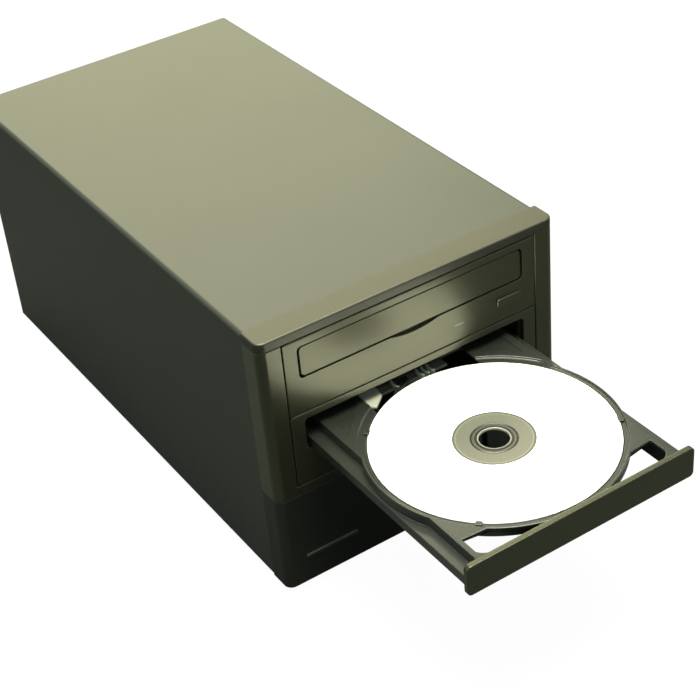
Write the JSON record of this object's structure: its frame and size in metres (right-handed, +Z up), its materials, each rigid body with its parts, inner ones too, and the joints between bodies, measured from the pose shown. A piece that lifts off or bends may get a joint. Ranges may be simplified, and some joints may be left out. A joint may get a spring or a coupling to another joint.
{
  "type": "disc duplicator tower",
  "caption": "Desktop disc duplicator tower: steel case with stacked tray-loading drives, a control panel with display and keys, and a rear power section.",
  "frame": {"origin": "on the surface it stands on, under the middle of the whole part with the lower tray open", "axes": "+X to the viewer's right across the front, +Y from the front to the rear, +Z up"},
  "size_m": [0.1738, 0.455, 0.1548],
  "materials": {
    "satin_case_steel": "satin olive-grey paint on sheet steel",
    "zinc_steel": "zinc-plated sheet steel",
    "front_plastic": "fine-grained olive-grey moulded plastic",
    "panel_plastic": "dark moulded plastic",
    "tray_plastic": "satin charcoal moulded plastic",
    "dark_plastic": "black moulded plastic",
    "clear_lens": "clear moulded lens",
    "display_glass": "smoked display window",
    "board_green": "coated circuit board with parts",
    "foot_rubber": "black rubber",
    "screw_steel": "plated screws",
    "motor_metal": "cast and turned metal",
    "white_disc": "white printable coating on clear plastic"
  },
  "bodies": {
    "case": {"base_pan": "zinc_steel", "front_plate": "zinc_steel", "case_cover": "satin_case_steel", "cover_screws": "screw_steel", "rear_panel": "satin_case_steel", "rubber_feet": "foot_rubber", "bezel_cap": "front_plastic", "bay_frame": "front_plastic", "lower_panel": "panel_plastic", "lcd_window": "display_glass", "lcd_module": "board_green", "key_board": "board_green", "controller_board": "board_green", "drive_cage": "zinc_steel", "drive_screws": "screw_steel", "power_supply_case": "zinc_steel", "power_supply_board": "board_green", "power_inlet": "dark_plastic", "switch_body": "dark_plastic", "fan_frame": "dark_plastic", "fan_guard": "screw_steel", "upper_drive_lid": "zinc_steel", "upper_drive_base": "zinc_steel", "upper_drive_bezel": "front_plastic", "upper_chassis": "dark_plastic", "upper_laser_deck": "motor_metal", "upper_clamp_bridge": "zinc_steel", "upper_drive_board": "board_green", "upper_busy_lens": "clear_lens", "lower_drive_lid": "zinc_steel", "lower_drive_base": "zinc_steel", "lower_drive_bezel": "front_plastic", "lower_chassis": "dark_plastic", "lower_laser_deck": "motor_metal", "lower_clamp_bridge": "zinc_steel", "lower_drive_board": "board_green", "lower_busy_lens": "clear_lens"},
    "upper_tray": {"upper_tray": "tray_plastic", "upper_tray_door": "front_plastic"},
    "upper_eject": {"upper_eject_button": "front_plastic"},
    "upper_turntable": {"upper_turntable": "dark_plastic"},
    "upper_sled": {"upper_pickup_sled": "dark_plastic"},
    "upper_gear": {"upper_loading_gear": "dark_plastic"},
    "upper_clamper": {"upper_clamper": "dark_plastic"},
    "lower_tray": {"lower_tray": "tray_plastic", "lower_tray_door": "front_plastic"},
    "lower_eject": {"lower_eject_button": "front_plastic"},
    "lower_turntable": {"lower_turntable": "dark_plastic"},
    "lower_sled": {"lower_pickup_sled": "dark_plastic"},
    "lower_gear": {"lower_loading_gear": "dark_plastic"},
    "lower_clamper": {"lower_clamper": "dark_plastic"},
    "disc": {"printable_disc": "white_disc"},
    "rotor": {"fan_rotor": "dark_plastic"},
    "rocker": {"power_rocker": "dark_plastic"},
    "key_up": {"key_up": "front_plastic"},
    "key_down": {"key_down": "front_plastic"},
    "key_enter": {"key_enter": "front_plastic"},
    "key_cancel": {"key_cancel": "front_plastic"}
  },
  "joints": [
    {"name": "upper_tray_slide", "type": "slide", "parent": "case", "child": "upper_tray", "axis": [0, -0.9995, -0.0314], "range_m": [0, 0.12736]},
    {"name": "upper_eject_press", "type": "slide", "parent": "case", "child": "upper_eject", "axis": [0, 1, 0], "range_m": [0, 0.0008], "stiffness_N_per_m": 900, "springref_m": -0.0005},
    {"name": "upper_turntable_spin", "type": "hinge", "parent": "case", "child": "upper_turntable", "pos_m": [0, -0.0345, 0.1311], "axis": [0, 0, 1], "continuous": true},
    {"name": "upper_sled_slide", "type": "slide", "parent": "case", "child": "upper_sled", "axis": [0, 1, 0], "range_m": [0, 0.034]},
    {"name": "upper_gear_spin", "type": "hinge", "parent": "case", "child": "upper_gear", "pos_m": [-0.045, -0.0815, 0.1176], "axis": [0, 0, 1], "range_deg": [-5, 917.2]},
    {"name": "upper_clamper_spin", "type": "hinge", "parent": "case", "child": "upper_clamper", "pos_m": [0, -0.0345, 0.1465], "axis": [0, 0, 1], "continuous": true},
    {"name": "lower_tray_slide", "type": "slide", "parent": "case", "child": "lower_tray", "axis": [0, -0.9995, -0.0314], "range_m": [-0.12736, 0]},
    {"name": "lower_eject_press", "type": "slide", "parent": "case", "child": "lower_eject", "axis": [0, 1, 0], "range_m": [0, 0.0008], "stiffness_N_per_m": 900, "springref_m": -0.0005},
    {"name": "lower_turntable_spin", "type": "hinge", "parent": "case", "child": "lower_turntable", "pos_m": [0, -0.0345, 0.0891], "axis": [0, 0, 1], "continuous": true},
    {"name": "lower_sled_slide", "type": "slide", "parent": "case", "child": "lower_sled", "axis": [0, 1, 0], "range_m": [0, 0.034]},
    {"name": "lower_gear_spin", "type": "hinge", "parent": "case", "child": "lower_gear", "pos_m": [-0.045, -0.0815, 0.0756], "axis": [0, 0, 1], "range_deg": [-917.2, 5]},
    {"name": "lower_clamper_spin", "type": "hinge", "parent": "case", "child": "lower_clamper", "pos_m": [0, -0.0345, 0.1045], "axis": [0, 0, 1], "continuous": true},
    {"name": "disc_spin", "type": "hinge", "parent": "lower_tray", "child": "disc", "pos_m": [0, -0.1618, 0.09555], "axis": [0, 0, 1], "continuous": true},
    {"name": "fan_spin", "type": "hinge", "parent": "case", "child": "rotor", "pos_m": [0, 0.21, 0.112], "axis": [0, 1, 0], "continuous": true},
    {"name": "power_rocker_tilt", "type": "hinge", "parent": "case", "child": "rocker", "pos_m": [-0.008, 0.2195, 0.03575], "axis": [1, 0, 0], "range_deg": [0, 14]},
    {"name": "key_up_press", "type": "slide", "parent": "case", "child": "key_up", "axis": [0, 1, 0], "range_m": [0, 0.001], "stiffness_N_per_m": 700, "springref_m": -0.0005},
    {"name": "key_down_press", "type": "slide", "parent": "case", "child": "key_down", "axis": [0, 1, 0], "range_m": [0, 0.001], "stiffness_N_per_m": 700, "springref_m": -0.0005},
    {"name": "key_enter_press", "type": "slide", "parent": "case", "child": "key_enter", "axis": [0, 1, 0], "range_m": [0, 0.001], "stiffness_N_per_m": 700, "springref_m": -0.0005},
    {"name": "key_cancel_press", "type": "slide", "parent": "case", "child": "key_cancel", "axis": [0, 1, 0], "range_m": [0, 0.001], "stiffness_N_per_m": 700, "springref_m": -0.0005}
  ],
  "couplings": [
    {"joint": "upper_gear_spin", "follows": "upper_tray_slide", "rad_per_m": 125},
    {"joint": "lower_gear_spin", "follows": "lower_tray_slide", "rad_per_m": 125}
  ]
}
